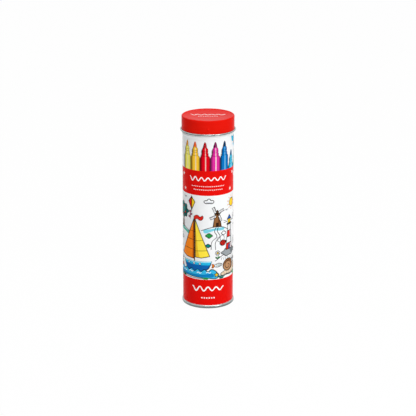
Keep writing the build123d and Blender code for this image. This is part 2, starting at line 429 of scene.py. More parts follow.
def press(name, pieces):
    """Presses flat pieces of ink on the tin: a sheet of them is stood up and wrapped round it."""
    sheet = sheet_of(name, pieces)
    sheet.rotation_euler = (pi / 2, 0, pi)
    bpy.ops.object.transform_apply(location=False, rotation=True, scale=False)
    bpy.ops.curve.primitive_nurbs_circle_add(radius=body_radius)
    drum = bpy.context.object
    drum.data.resolution_u = 64
    alone(sheet)
    wrap = sheet.modifiers.new("wrap", "CURVE")
    wrap.object = drum
    wrap.deform_axis = "POS_X"
    bpy.ops.object.modifier_apply(modifier="wrap")
    bpy.data.objects.remove(drum)
    soften(sheet)
    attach(sheet, "tube")


# Lithographed ink under varnish: the ink's own colour, a trace of unevenness, and the varnish's even gloss.
litho_ink, output, place = new_finish("Lithographed ink under varnish")
own_ink = node(litho_ink, "ShaderNodeAttribute", attribute_name="ink").outputs["Color"]
mottle = node(litho_ink, "ShaderNodeTexNoise", {"Vector": place}, scale=1 / (1.6 * mm), detail=3.0)
tone = node(litho_ink, "ShaderNodeMapRange", {"Value": mottle.outputs["Fac"]}, to_min=0.94, to_max=1.04)
printed = node(
    litho_ink, "ShaderNodeVectorMath", {"Vector": own_ink, "Scale": tone.outputs[0]}, operation="SCALE",
)
coat(litho_ink, output, place, printed.outputs[0], mottle.outputs["Fac"], (0.22, 0.3), 0.9 * mm)

plain_red = [(side, colour("#E30E08")) for side in (-1, 1)]
band_rows = [[(height, band_half) for height in band] for band in bands]
press("printed_bands", [shaded(rows, plain_red, level=1) for rows in band_rows])


def wave(x, y, reach, height, count):
    """A hand-drawn wave across the sheet, higher at its ends than in its middle."""
    steps = range(8 * count + 1)
    sides = [hand.uniform(0.97, 1.03) * (0.84 + 0.16 * cos(n / 9)) for n in steps]
    return [
        (x + reach * (n / (4 * count) - 1), y + height / 2 * side * cos(pi * n / 4))
        for n, side in zip(steps, sides)
    ]


# White ornaments stand on the red, where a printed tin has its words: waves, rows of dots and small stars.
opaque_white = "#FBFBFB"
dot_rows = ((108.6, 17, 1.75, 0.42), (105.6, 15, 1.75, 0.42), (9.4, 6, 2.1, 0.62))
ornaments = []
for middle in (0, -45, 45):
    ornaments.append(drawn(wave(middle, 115, 16.5, 3.5, 6), opaque_white, 2, 0.9, closed=False))
    ornaments.append(drawn(wave(middle, 17.6, 14, 4.2, 4), opaque_white, 2, 1.05, closed=False))
    for height, count, space, size in dot_rows:
        for n in range(count):
            x = middle + (n - (count - 1) / 2) * space
            ornaments.append(drawn(ellipse(x, height, size, count=6), opaque_white, 2))
for x, y in ((-25.5, 117), (-23, 104.6), (22, 104.4), (26, 118)):
    ornaments.append(drawn(star(x, y, 1.7), opaque_white, 2, soft=False))
press("printed_ornaments", ornaments)

# The row of printed pens: each has an ink for its barrel, for its bright stripe and for its nib.
# Their outlines are rows of heights and half-widths, and two of the pens stand lower than the rest.
printed_pens = (
    ("#FBF06A", "#F2EFC0", "#E79A2A"), ("#FFC935", "#F6E9C4", "#F06224"), ("#E1001A", "#F0C4BA", "#AE0014"),
    ("#DC2E9A", "#F6DCE2", "#7A0050"), ("#0A72BE", "#7CC8E6", "#042C56"), ("#14B4DC", "#B8E8F4", "#075E92"),
    ("#189A4A", "#A4DCB6", "#0A5A28"), ("#8CC02E", "#DCEEB0", "#4C7A16"), ("#7E4A2A", "#CDAF98", "#42220F"),
    ("#2A2B2E", "#8E9296", "#0B0B0C"),
)
pen_rows = (
    (122.1, 4.15), (133.4, 4.15), (134.2, 4.0), (134.8, 3.6), (135.1, 3.0), (137.3, 2.9), (137.8, 2.35),
    (138.3, 2.65), (140.6, 2.55), (141.4, 2.3), (142.2, 1.6),
)
pen_steps_at = ((134.9, 3.1), (137.8, 2.4), (139.4, 2.55), (142.0, 1.75))
nib_rows = ((142.2, 1.5), (144.0, 1.38), (145.6, 0.98), (146.5, 0.55), (146.9, 0.15))
first_pen_turn, pen_turn = -52.8, 23.1
low_pens, low_pen_drop = (5, 6), 9.0
black, white, shadow = colour("#000000"), colour("#F1F2F3"), colour("#16181B")
shadow_reach, shadow_drop = 1.42, 1.2


def blend(first, second, share):
    """A colour between two, both linear."""
    return [a + (b - a) * share for a, b in zip(first, second)]


def pen_stops(ink, stripe_ink, stripe):
    """A printed pen's shading from left to right: dark edge, body colour, pale stripe, duller edge."""
    body = colour(ink)
    dark, pale = blend(body, black, 0.84), blend(body, colour(stripe_ink), stripe)
    return (
        (-1, dark), (-0.8, blend(body, dark, 0.75)), (-0.42, body), (-0.02, body), (0.05, pale), (0.19, pale),
        (0.27, body), (0.64, body), (0.88, blend(body, dark, 0.5)), (1, dark),
    )


shades = ((-1, 0), (-0.9, 0.15), (-0.8, 0.5), (-0.71, 1), (0, 1))
fade = [(place, blend(white, shadow, share)) for place, share in shades]
pen_row = []
for n, (barrel_ink, stripe_ink, nib_ink) in enumerate(printed_pens):
    across = radians(pen_turn * n + first_pen_turn) * body_radius / mm
    drop = low_pen_drop if n in low_pens else 0
    body_rows = [(max(height - drop, band_head), half) for height, half in pen_rows]
    tip_rows = [(height - drop, half) for height, half in nib_rows]
    outline = body_rows + tip_rows[1:-1]
    cast = [(max(height - shadow_drop, band_head), half * shadow_reach) for height, half in outline]
    cast.append((tip_rows[-1][0] - shadow_drop / 2, 0.4))
    pen_row.append(shaded(cast, fade, across - 0.2, 1))
    pen_row.append(shaded(body_rows, pen_stops(barrel_ink, stripe_ink, 0.9), across))
    pen_row.append(shaded(tip_rows, pen_stops(nib_ink, stripe_ink, 0.12), across))
    for height, half in pen_steps_at:
        sag = [(across + half * step / 2, height - drop - 0.05 * (4 - step * step)) for step in range(-2, 3)]
        pen_row.append(drawn(sag, blend(colour(barrel_ink), black, 0.62), 3, 0.3, closed=False))
# A splash of paint above the lower pens.
splash = [
    (24.2, 149.2), (27.8, 148.4), (31.6, 149.1), (32.2, 144.8), (31.4, 140.6), (30.3, 138.2), (29.2, 140.5),
    (27.5, 141.1), (27.7, 143.6), (25.3, 144.6), (24.3, 146.8),
]
splash_shade = [(29.3, 148.2), (31.4, 147.8), (31.5, 142.6), (30.4, 139.8), (29.9, 143.4)]
pen_row.append(drawn(splash, "#1BB3D6", 4))
pen_row.append(drawn(splash_shade, "#0D7F99", 5))
pen_row.append(drawn(ellipse(29.5, 143.4, 1.0, 1.5), "#8A4A28", 6))
# Samples of the ten inks, where the row of pens ends at the back: a blot and a squiggle of each.
squiggle = ((-2.2, -4.6), (-0.8, -3.8), (0.6, -4.7), (2.2, -4))
for n, (barrel_ink, stripe_ink, nib_ink) in enumerate(printed_pens):
    x, y = -62.4 + 6.4 * (n % 5), 142 - 10 * (n // 5)
    pen_row.append(drawn(ellipse(x, y, 2.4, 2.3), barrel_ink, 2))
    pen_row.append(drawn([(x + aside, y + up) for aside, up in squiggle], barrel_ink, 2, 0.9, closed=False))
press("printed_pens", pen_row)


# Colouring-book drawings: a boat on the sea, a lighthouse, a windmill, a snail, a house, a garden and more.
# Each is drawn from its own foot and set down on the sheet, and about half of them are left white.
drawings, pictures = [], []
stance = Vector((0, 0, 1))
leaf_green, poppy, sunny, pane, bark = "#2C9A48", "#D8281E", "#F4CF26", "#BFE6F2", "#7A4B2A"


def at(x, y, hand_side=1):
    """Joins the finished drawing, and starts the next: where its foot stands, and which way it faces."""
    if drawings:
        pictures.append(merge(drawings))
        drawings.clear()
    stance[:] = x, y, hand_side


def put(points):
    """A drawing's own points, moved to its place on the sheet."""
    return [(stance[0] + stance[2] * x, stance[1] + y) for x, y in points]


def shape(points, ink=paper, level=2, soft=True, line=0.6):
    """A patch of ink with a black outline."""
    drawings.append(drawn(put(points), ink, level, soft=soft))
    if line:
        drawings.append(drawn(put(points), line_ink, level + 1.5, line, soft))


def cut(points, ink=paper, level=2, line=0.6):
    """A patch of ink with straight sides and a black outline."""
    shape(points, ink, level, False, line)


def stroke(points, width=0.55, level=4, soft=True, ink=line_ink):
    """A pen line."""
    drawings.append(drawn(put(points), ink, level, width, soft, False))


def lobes(x, y, across, up, count, depth=0.12):
    """The scalloped outline of a bush or of a tree's crown."""
    reach = [1 + depth * (-1) ** n * hand.uniform(0.7, 1.2) for n in range(2 * count)]
    turns = [pi * n / count for n in range(2 * count)]
    return [(x + across * far * cos(turn), y + up * far * sin(turn)) for turn, far in zip(turns, reach)]


def flower(x, foot, head, ink, heart=sunny, size=1.0, petals=6):
    """A flower with round petals on a stem with two leaves."""
    stroke([(x, head), (x + 0.5 * size, (head + foot) / 2), (x, foot)], 0.5, 1, ink=leaf_green)
    middle = foot + (head - foot) * 0.35
    for side in (-1, 1):
        tip = (x + side * 1.9 * size, middle + 0.4 * size)
        shape([(x, middle - size), tip, (x + side * 0.7 * size, middle)], leaf_green, line=0.36)
    for n in range(petals):
        turn = tau * n / petals + 0.3
        middle = (x + 1.45 * size * cos(turn), head + 1.45 * size * sin(turn))
        shape(ellipse(*middle, 0.85 * size, count=6), ink, 4 + n % 2, line=0.36)
    shape(ellipse(x, head, 0.85 * size, count=6), heart, 7, line=0.36)


def toadstool(x, foot, size, level=5):
    """A red toadstool with white dots."""
    stem = ((-1, 0), (1, 0), (0.8, 4.6), (-0.8, 4.6))
    cap = ((-3.9, 4.2), (-2.8, 7), (0, 8.4), (2.8, 7), (3.9, 4.2), (0, 3.6))
    for outline, ink, layer in ((stem, paper, level), (cap, poppy, level + 2)):
        shape([(x + size * a, foot + size * b) for a, b in outline], ink, layer)
    for a, b in ((-2, 5.4), (0.1, 6.8), (2, 5.2)):
        shape(ellipse(x + size * a, foot + size * b, 0.55 * size, count=6), level=level + 4, line=0)


# Hills and the sea
at(0, 0)
stroke([(6, 42.4), (13, 46.6), (21, 48.4), (29, 47.2), (36, 43.6)], 0.6, 2)
stroke([(-6, 69.8), (2, 72.4), (9, 73), (15, 71.4), (20, 68.2)], 0.6, 2)
shape([(-4, 69), (3, 71.4), (10, 72), (15, 70.4), (12, 69.4), (6, 69.8)], "#7BD0E2", 1, line=0)
stroke([(-42, 66), (-35, 69.6), (-27, 70.6), (-20, 69), (-15, 65.6)], 0.6, 2)
shape([(-38, 66.6), (-30, 69.4), (-22, 68.8), (-17, 66), (-24, 66.8), (-31, 67)], "#5FB9A6", 1, line=0)
for n in range(9):
    stroke([(12.6 + 2.2 * n, 45.4 - 0.2 * n), (12 + 2.2 * n, 43 - 0.25 * n)], 0.36, 2)
stroke([(-68, 44), (-58, 47), (-46, 46.4), (-36, 42)], 0.55, 1)
stroke([(-68, 57), (-58, 60.2), (-48, 60), (-41, 57.4), (-36, 52)], 0.55, 1)
crest = [(x, 34.2 + 0.9 * (-1) ** n) for n, x in enumerate(range(-33, 6, 3))]
shape([(-35, 28.6), (-35.4, 32.4)] + crest + [(8.6, 31), (9.4, 28.4), (-2, 27.6), (-18, 28.2)], "#35B6E2", 8)
deep = [(-34, 29), (-30, 30.6), (-18, 30), (-6, 30.4), (5, 29.4), (-2, 28.2), (-18, 28.8)]
shape(deep, "#0F7FC0", 9, line=0)
for x, y in ((-30, 32), (-23, 31.4), (-15.4, 32.2), (-7.6, 31.6), (0.6, 32)):
    stroke([(x - 2.2, y), (x - 0.8, y + 0.9), (x + 0.6, y), (x + 2, y + 0.8)], 0.48, 10, ink="#FFFFFF")
stroke([(-34, 27), (-20, 26.9), (-6, 26.8), (6, 27.6), (14, 28.8), (24, 28), (34, 28.6)], 0.5, 3)

# The boat
at(-11, 33)
stroke([(-1.1, 8), (-1.1, 49)], 1.14, 3, soft=False, ink="#5B3A20")
mainsail = [(-1.8, 46), (-5, 38), (-9.6, 27), (-16.2, 13.4), (-9.4, 11.6), (-1.8, 11.2)]
cut(mainsail, "#FF8C1C", 4, line=0.6)
mainsail_shade = [(-1.9, 45), (-2.8, 39), (-3.6, 30), (-3.2, 20), (-3.6, 11.6), (-1.9, 11.4)]
cut(mainsail_shade, "#E8720F", 5, line=0)
for height, left in ((20, -13.0), (28.6, -8.9), (36, -5.9)):
    stroke([(left, height), (-1.9, height - 0.8)], 0.36, 6, soft=False)
jib = [(-0.2, 46), (3.4, 37), (7.6, 26.4), (12.4, 14), (5.6, 12.4), (-0.2, 12.6)]
cut(jib, "#FFE545", 4, line=0.6)
cut([(0, 40), (1.1, 30), (2, 20), (3.6, 12.8), (0, 12.8)], "#F0BE2C", 5, line=0)
for right, height in ((6.8, 28.2), (10.4, 19.2)):
    stroke([(0, height - 1), (right, height)], 0.36, 6, soft=False)
pennant = [(-0.9, 49), (2, 50.2), (4.4, 48.8), (6.4, 49.8), (6.2, 46.6), (3.8, 45.8), (1.6, 47), (-0.9, 46.2)]
shape(pennant, poppy, 7, line=0.42)
hull = [(-13.4, 8.4), (14, 9.2), (13, 6), (11.4, 3), (8, 0.4), (-7, -0.2), (-10.6, 3), (-12.2, 5.8)]
cut(hull, "#24B5E2", 4, line=0.66)
cut(hull[2:], "#0C62AE", 5, line=0)
stroke([(-13.2, 8.1), (13.8, 8.9)], 0.96, 6, soft=False, ink="#9BE3F6")
for x in (-7, -1.5, 4):
    shape(ellipse(x, 7, 0.85, count=6), level=7, line=0.36)

# The lighthouse on its rock
at(21, 47)
shape(lobes(0, 2, 8.4, 3.6, 6, 0.1), "#9AA0A3", 3)
shape([(1, 5), (6, 4.4), (7.6, 1.6), (4, -0.6), (2, 1)], "#6F767A", 4, line=0)
tower = ((4.2, 4), (3.7, 9.5), (3.1, 15), (2.5, 20.5), (1.9, 26))
for n, ((low_half, low), (high_half, high)) in enumerate(zip(tower, tower[1:])):
    side = [(-low_half, low), (low_half, low), (high_half, high), (-high_half, high)]
    cut(side, (poppy, paper)[n % 2], 5)
cut([(1.6, 4.2), (3.6, 4.2), (1.6, 25.8), (0.7, 25.8)], "#C9CDD0", 6, line=0)
cut([(-3, 26), (3, 26), (3, 27.2), (-3, 27.2)], "#3A3F44", 7)
cut([(-1.8, 27.2), (1.8, 27.2), (1.8, 30.8), (-1.8, 30.8)], sunny, 7)
stroke([(0, 27.2), (0, 30.8)], 0.34, 9, soft=False)
cut([(-2.8, 30.8), (2.8, 30.8), (0, 34.4)], "#1D5FB4", 7)
cut([(-1, 4.2), (1, 4.2), (1, 7.6), (0, 8.4), (-1, 7.6)], "#1D4C94", 7, line=0.36)
for up in (2, -0.4):
    stroke([(2.8, 29), (8, 29 + up)], 0.38, 3, soft=False)
    stroke([(-2.8, 29), (-7, 29 + up)], 0.38, 3, soft=False)

# The windmill
at(8, 73)
cut([(-3.8, 0), (3.8, 0), (1.9, 11.6), (-1.9, 11.6)], "#8F6038", 3)
cut([(0.6, 0.3), (3.4, 0.3), (1.7, 11.2), (0.6, 11.2)], "#6E4527", 4, line=0)
cut([(-2.6, 11.6), (2.6, 11.6), (0, 14.6)], "#5A3A22", 4)
cut([(-1, 0), (1, 0), (0.9, 3.4), (-0.9, 3.4)], "#3A2415", 5, line=0.36)
hub = Vector((0, 11))
for n in range(4):
    turn = radians(22 + 90 * n)
    ahead, aside = Vector((cos(turn), sin(turn))), Vector((-sin(turn), cos(turn)))
    blade = [tuple(hub + ahead * a + aside * b) for a, b in ((1.8, 0), (7, 0), (7, 2), (1.8, 2))]
    cut(blade, level=6, line=0.38)
    stroke([tuple(hub), tuple(hub + ahead * 7.4)], 0.6, 8, soft=False)
    for a in (3.2, 4.5, 5.8):
        stroke([tuple(hub + ahead * a), tuple(hub + ahead * a + aside * 2)], 0.29, 8, soft=False)

stroke([(-0.9, 0), (-2.4, -4), (-0.4, -8.4), (-4.6, -13), (-5.4, -20)], 0.5, 2)
stroke([(0.9, 0), (0.2, -4), (2.4, -8.8), (-1.4, -13.4), (-1.4, -20.6)], 0.5, 2)
shape(lobes(-7.2, -7.6, 2.6, 1.9, 4), leaf_green, 3)
shape(lobes(6.2, -6.4, 2.2, 1.6, 4), level=3)
shape(lobes(-8, -16.6, 2.0, 1.5, 4), "#11807A", 3)

# The tree on the left hill
at(-27, 70)
cut([(-1.7, 0), (1.8, 0), (0.9, 9), (-0.5, 9)], bark, 3)
shape(lobes(0, 15, 7.8, 6.6, 8), "#11807A", 5, line=0.6)
shape([(1, 9.4), (5.4, 10.4), (7.2, 14.8), (5, 19), (3, 14.6)], "#0A5652", 6, line=0)
for n in range(12):
    x, y = 5.4 * cos(2.4 * n), 15 + 4.2 * sin(2.4 * n)
    stroke([(x - 1.2, y), (x, y + 0.8), (x + 1.2, y - 0.1)], 0.38, 8)
for x, y in ((-3.8, 13), (0.6, 18), (3.6, 13.2), (-1.2, 10.6)):
    shape(ellipse(x, y, 0.95, count=6), poppy, 9, line=0.43)

# The kite, the sun, clouds and birds
at(-14.8, 87.4)
cut([(0, 11.4), (3.4, 7), (0, 0)], sunny, 3)
cut([(0, 11.4), (-3.4, 7), (0, 0)], poppy, 4)
stroke([(0, 0), (-1.8, -1.8), (-0.6, -4.2), (-2.6, -6.4), (-1.4, -8.4)], 0.41, 3)
for x, y in ((-1.6, -1.8), (-0.8, -4.2), (-2.4, -6.4)):
    bow = [(x - 1.2, y + 0.8), (x + 1.2, y - 0.8), (x + 1.2, y + 0.8), (x - 1.2, y - 0.8)]
    cut(bow, "#E86A9A", 5, line=0.3)
at(24.5, 92)
shape(ellipse(0, 0, 3.6), sunny, 3)
shape([(0.4, -3), (2.8, -2), (3.2, 0.6), (1.6, 2.8), (1.8, 0)], "#F0A81E", 4, line=0)
for n in range(11):
    turn = tau * n / 11
    stroke([(far * cos(turn), far * sin(turn)) for far in (4.6, 6.4)], 0.6, 3, ink="#E8941A")
cloud = (
    (-1.0, -0.3), (-1.2, 0.05), (-0.85, 0.33), (-0.5, 0.32), (-0.25, 0.65), (0.2, 0.62), (0.42, 0.32),
    (0.8, 0.35), (1.1, 0.05), (0.95, -0.3), (0, -0.38),
)
cloud_shade = ((-0.7, -0.14), (0, -0.2), (0.7, -0.12))
clouds = (
    (33, 79, 4.2), (-30.6, 60.4, 3.6), (1, 95.4, 3.6), (-45, 93, 5), (-60, 80, 4), (41.5, 80.4, 4.2),
    (63.4, 80.6, 3.6),
)
for x, y, size in clouds:
    at(x, y)
    shape([(size * across, size * up) for across, up in cloud], level=5)
    stroke([(size * across, size * up) for across, up in cloud_shade], 0.72, 6, ink="#C6CBCE")
wings = ((-1.7, 0.4), (-0.8, 0.9), (0, 0), (0.8, 0.9), (1.7, 0.4))
birds = ((-31.4, 51), (17.6, 86), (-22.6, 97), (-37, 84), (30.4, 70.4), (-52, 84), (60, 92), (-27.6, 47))
for x, y in birds:
    at(x, y)
    stroke(wings, 0.42)

# The ladybird, flying
at(13.4, 58, -1)
shape([(0.4, 1.6), (3.6, 5.6), (5.6, 4.2), (3, 1.2)], level=2, line=0.38)
shape([(-0.4, 1.8), (-0.6, 6.4), (1.8, 6.6), (1.6, 1.8)], level=4, line=0.38)
shape(ellipse(0, 0, 2.9, 2.4), poppy, 6)
shape(ellipse(-2.8, 0.6, 1.2, 1.3), line_ink, 5, line=0)
stroke([(-2.2, 0.3), (2.7, -0.3)], 0.42, 8)
for x, y in ((-1, 1.2), (1.1, 1.2), (-0.7, -1.2), (1.3, -1.3)):
    shape(ellipse(x, y, 0.5, count=6), line_ink, 8, line=0)
for up in (0.9, -0.5):
    stroke([(-3.6, 1), (-4.6, 1.2 + up), (-5.4, 1.4 + 1.4 * up)], 0.34, 4)

# The snail on the shore
at(20, 29.4, -1)
foot = (
    (-9.6, 6.4), (-9, 8.4), (-7.2, 8.2), (-6.4, 5.6), (-4.6, 3.8), (1, 3.4), (6, 2.6), (8.6, 0.4), (2, -0.2),
    (-5, -0.2), (-8.2, 1.4), (-9.4, 4),
)
shape(foot, "#E3CDB0", 5)
for x in (-4, -1, 2, 5):
    stroke([(x, 0.4), (x + 0.5, 1.6)], 0.31, 7)
shape(ellipse(0.4, 7.8, 6, 5.4), "#8A5C3A", 7, line=0.6)
shape(ellipse(1.2, 6.8, 4.4, 3.7), "#B98A62", 9, line=0)
stroke([(0.6 + 0.48 * n * cos(0.85 * n), 7.4 + 0.43 * n * sin(0.85 * n)) for n in range(2, 11)], 0.54, 10)
for x, y in ((-10.4, 11.2), (-7.8, 11.6)):
    stroke([(-8.3 + (x + 9) * 0.2, 8), (x, y)], 0.46, 6)
    shape(ellipse(x, y, 0.5, count=6), line_ink, 7, line=0)
stroke([(-9.2, 5.2), (-8.6, 4.6), (-7.9, 4.8)], 0.36, 7)

# Toadstools, a starfish, and flowers left white
at(33, 27.4)
toadstool(0, 0.6, 0.9)
toadstool(4.2, 0, 0.6, 9)
at(7.4, 30)
shape(star(0, 0, 2.2, waist=0.5), "#F2CB2B", 11, line=0.48)
at(32, 43)
flower(0, 3, 13.4, paper, paper, 1.6, 7)
at(8.4, 43)
flower(0, 0.6, 6.4, paper, sunny, 1.0)

# A buoy and a leaping fish
at(-29, 33.6)
cut([(-2.1, 0), (2.1, 0), (1.5, 3), (-1.5, 3)], poppy, 5)
cut([(-1.5, 3), (1.5, 3), (1, 5.6), (-1, 5.6)], level=5)
stroke([(0, 5.6), (0, 9)], 0.5, 5, soft=False)
cut([(0, 9.4), (3, 8.3), (0, 7.2)], "#1D5FB4", 6, line=0.43)
at(8.6, 38.6)
shape([(-3.1, -0.4), (-5.1, 1.2), (-4.8, -0.5), (-5.2, -2)], "#F07E16", 4, line=0.45)
shape([(-3.2, -0.4), (-0.8, 1.4), (2.2, 1.4), (3.9, 0.2), (2.2, -1), (-0.8, -1.6)], paper, 6, line=0.5)
for x in (-1.2, 0.2, 1.4):
    stroke([(x, 1.1), (x + 0.4, 0), (x, -1)], 0.45, 8, ink="#11807A")
shape(ellipse(2.6, 0.4, 0.34, count=6), line_ink, 8, line=0)

# Shade and hatching on the shore, and a stony foot to the lighthouse's hill
at(20, 27.6)
shape([(-10, 1.2), (-2, 0.6), (8, 0.8), (13, 2), (8, 2.6), (-4, 2.2)], "#C9CED1", 2, line=0)
for n in range(10):
    stroke([(-9 + 2.3 * n, 0.2), (-8.2 + 2.3 * n, 1.6)], 0.4, 3)
at(29, 41)
for x, y, size in ((0, 0, 1.5), (3.4, -0.8, 1.2), (-3.2, -0.4, 1.1)):
    shape(lobes(x, y, size, 0.7 * size, 3), "#A9AFB2", 4, line=0.45)

# Grass
tufts = (
    (-31, 26.2, 4.6, "#0E6E66"), (-24.6, 26.2, 3.2, "#155E34"), (29, 26.2, 3.6, leaf_green),
    (12, 26.1, 2.8, "#0E6E66"), (-46.5, 59.5, 3, leaf_green), (-64, 26.2, 5, "#155E34"),
    (50, 26.2, 5, leaf_green), (66, 26.2, 4, "#0E6E66"), (-2, 26.1, 2.0, leaf_green),
)
for x, y, reach, ink in tufts:
    at(x, y)
    for n, lean in enumerate((-1, -0.66, -0.33, 0, 0.33, 0.66, 1)):
        blade = [(1.5 * lean, 0), (2 * lean, reach * 0.5), (3.4 * lean, reach * (1 - 0.35 * abs(lean)))]
        stroke(blade, 0.54, 11 + n % 3, ink=ink)

# The house, its fence and its garden, on the right side
at(46.5, 42)
cut([(-7.5, 0), (7.5, 0), (7.5, 14), (-7.5, 14)], "#F7E4A8", 3, line=0.6)
cut([(3.2, 20.4), (5.4, 20.4), (5.4, 26), (3.2, 26)], "#A8552F", 3)
cut([(-9.5, 14), (9.5, 14), (4.6, 24), (-4.4, 24)], "#D2301F", 5, line=0.6)
for rise in (2.4, 5, 7.6):
    stroke([(-9.5 + rise * 0.52, 14 + rise), (9.5 - rise * 0.5, 14 + rise)], 0.34, 7, soft=False)
cut([(-2, 0), (2, 0), (2, 7.6), (0, 9.2), (-2, 7.6)], "#1C66B8", 5)
for x in (-6.2, 3.6):
    cut([(x, 5.6), (x + 2.8, 5.6), (x + 2.8, 10.2), (x, 10.2)], pane, 5, line=0.38)
    stroke([(x + 1.4, 5.6), (x + 1.4, 10.2)], 0.34, 7, soft=False)
stroke([(4.2, 26.6), (5.8, 28.8), (3.8, 30.4), (6.4, 32.4)], 0.48)
at(0, 34)
for height in (1.6, 4.4):
    stroke([(37.4, height), (66.4, height)], 0.48, 4, soft=False)
for x in range(38, 66, 3):
    cut([(x, 0), (x + 1.7, 0), (x + 1.7, 5.6), (x + 0.85, 7), (x, 5.6)], level=6, line=0.38)
for x, ink in ((40.6, "#DB2B2B"), (44.8, "#F0B323"), (54.6, "#D9458F")):
    at(x, 26)
    stroke([(0, 0), (0.3, 3), (0, 5.4)], 0.6, 7, ink=leaf_green)
    cup = ((-1.6, 8.4), (-0.8, 7.2), (0, 8.8), (0.8, 7.2), (1.6, 8.4), (1.2, 5.4), (0, 4.6), (-1.2, 5.4))
    shape(cup, ink, 8, line=0.42)
at(60.4, 26.6)
toadstool(0, 0, 1.15, 8)
at(52.5, 79.6)
for far, ink, level in ((12.6, poppy, 1), (11.2, "#F2C626", 2), (9.8, leaf_green, 3), (8.4, "#1F74C4", 4)):
    turns = (0.1, 0.6, 1.1, 1.6, 2.1, 2.6, 3.04)
    stroke([(far * cos(turn), far * sin(turn)) for turn in turns], 1.3, level, ink=ink)
at(60.5, 60)
for n in range(4):
    left, right = -6.4 + 3.2 * n, -3.2 + 3.2 * n
    shape([(left, 5), (left + 1.6, 5.7), (right, 5), (0, 11.4)], ("#12877F", paper)[n % 2], 3 + n, line=0.46)
stroke([(0, 11.4), (0, -1), (1, -2.2), (2, -1.2)], 0.6, 2)

# The garden on the left side: a sunflower, an apple tree, a ball and a watering can
at(-58, 26)
stroke([(0, 0), (0.6, 12), (0, 24)], 1.08, 3, ink=leaf_green)
for side, height in ((-1, 10), (1, 15)):
    leaf = [(0.2, height - 2), (3.4 * side, height - 1.4), (6 * side, height + 2), (2 * side, height + 1.2)]
    shape(leaf, "#37A04A", 4, line=0.42)
edge = ((2.8, -0.16), (5.0, -0.17), (6.4, 0), (5.0, 0.17), (2.8, 0.16))
for n in range(14):
    petal = [(far * cos(tau * n / 14 + lean), 27 + far * sin(tau * n / 14 + lean)) for far, lean in edge]
    shape(petal, sunny, 4 + n % 2, line=0.42)
shape(ellipse(0, 27, 3.2), "#6B4020", 7)
for n in range(3):
    stroke([(-2, 28.8 - 1.6 * n), (2, 28.2 - 1.6 * n)], 0.36, 9, soft=False)
at(-46, 60)
cut([(-1.6, 0), (1.6, 0), (1.2, 12), (-1.2, 12)], bark, 3)
shape(lobes(0, 18.6, 8.6, 7.4, 8), level=5, line=0.6)
for x, y in ((-4.2, 17), (0.4, 22), (4.2, 17.4), (-0.6, 15), (-3.2, 22.2)):
    shape(ellipse(x, y, 1.2, count=6), poppy, 7, line=0.42)
    stroke([(x, y + 1.2), (x + 0.5, y + 2.1)], 0.38, 8)
at(-41.4, 33)
shape(ellipse(0, 0, 5.2), level=4, line=0.6)
for n, ink in ((0, poppy), (2, "#F2C626"), (4, "#1F74C4")):
    turns = [tau * (n + part / 3) / 6 + 0.4 for part in range(4)]
    gore = [(0, 0)] + [(5.2 * cos(turn), 5.2 * sin(turn)) for turn in turns]
    cut(gore, ink, 6 + n // 2, line=0.46)
at(-50.4, 27.4)
cut([(-3.4, 0), (3.4, 0), (2.8, 6.8), (-2.8, 6.8)], "#27994A", 5)
cut([(-3.2, 2.8), (-5.6, 8), (-4.6, 8.6), (-2.9, 5.6)], "#27994A", 7)
stroke([(2.8, 5.8), (5.2, 7), (4.8, 2.4), (3.2, 1.8)], 0.72, 9)
tall_flowers = ((-64.4, 45, 51.4, "#D9458F"), (-50.6, 46.8, 53.4, "#E07A1E"), (-38.6, 43.2, 50, "#D9458F"))
for x, foot, head, ink in tall_flowers:
    at(x, 0)
    flower(0, foot, head, ink, size=0.9)
at(0, 0)

# The drawings left and right of the tin's front are a piece each.
middles = [piece.bound_box[0][0] + piece.bound_box[6][0] for piece in pictures]
left_half = [piece for piece, middle in zip(pictures, middles) if middle < 0]
right_half = [piece for piece, middle in zip(pictures, middles) if middle > 0]
press("printed_pictures_left", left_half)
press("printed_pictures_right", right_half)


# The pens: ten felt-tips that stand in the tin, a ring of eight round a pair, each in the colour of its ink.
# Barrel, plug and cap are moulded polypropylene; the nib is bonded acrylic fibre and the reservoir is felt.
pen_inks = {
    "yellow": ("#E6DC46", "#C8A024"), "golden": ("#F0AE1E", "#DE5A1C"), "red": ("#D81420", "#7E0512"),
    "magenta": ("#D42F92", "#7A0450"), "blue": ("#0F6FBE", "#06305E"), "cyan": ("#22B7DF", "#0B6C9E"),
    "green": ("#159A48", "#065A28"), "lime": ("#86BE2E", "#3F7414"), "brown": ("#7A4526", "#40200F"),
    "black": ("#1C1C1E", "#0B0B0C"),
}
clear_white = colour("#FFFFFF")
barrel_radius = 4.2 * mm
barrel_bore = 3.35 * mm
barrel_foot, shoulder_foot, neck_foot = 4.5 * mm, 131.3 * mm, 133.5 * mm
neck_radius, nose_radius, groove_radius = 2.5 * mm, 1.95 * mm, 1.65 * mm
groove_foot, nose_foot, nose_top = 137.5 * mm, 138.0 * mm, 140.9 * mm
nib_bore, bore_top = 1.15 * mm, 128.1 * mm
cap_mouth, cap_top = (corner.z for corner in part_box("cap_black"))
cap_radius, cap_top_radius, cap_bore = 4.9 * mm, 4.7 * mm, 4.3 * mm
cap_floor, chamber_roof = 148.6 * mm, 147.4 * mm
head_bore = 4.1 * mm
seal_foot, seal_top, seal_bore, chamber_radius = 133.9 * mm, 136.9 * mm, 2.56 * mm, 3.0 * mm
cap_round = 0.25 * mm
moulded_edge = 0.1 * mm
nose_edge = 0.2 * mm
grip_ring, grip_ring_half, grip_ring_depth = 124.2 * mm, 0.35 * mm, 0.12 * mm
cross_rib_width, cross_rib_height = 0.9 * mm, 5.8 * mm
pen_steps = 96


def stand(model, name, middle):
    """A copy of a modelled piece, with its own mesh, moved to where it stands."""
    alone(model)
    bpy.ops.object.duplicate()
    piece = bpy.context.object
    piece.name = piece.data.name = name
    piece.location = middle
    bpy.ops.object.transform_apply(location=True, rotation=False, scale=False)
    return piece


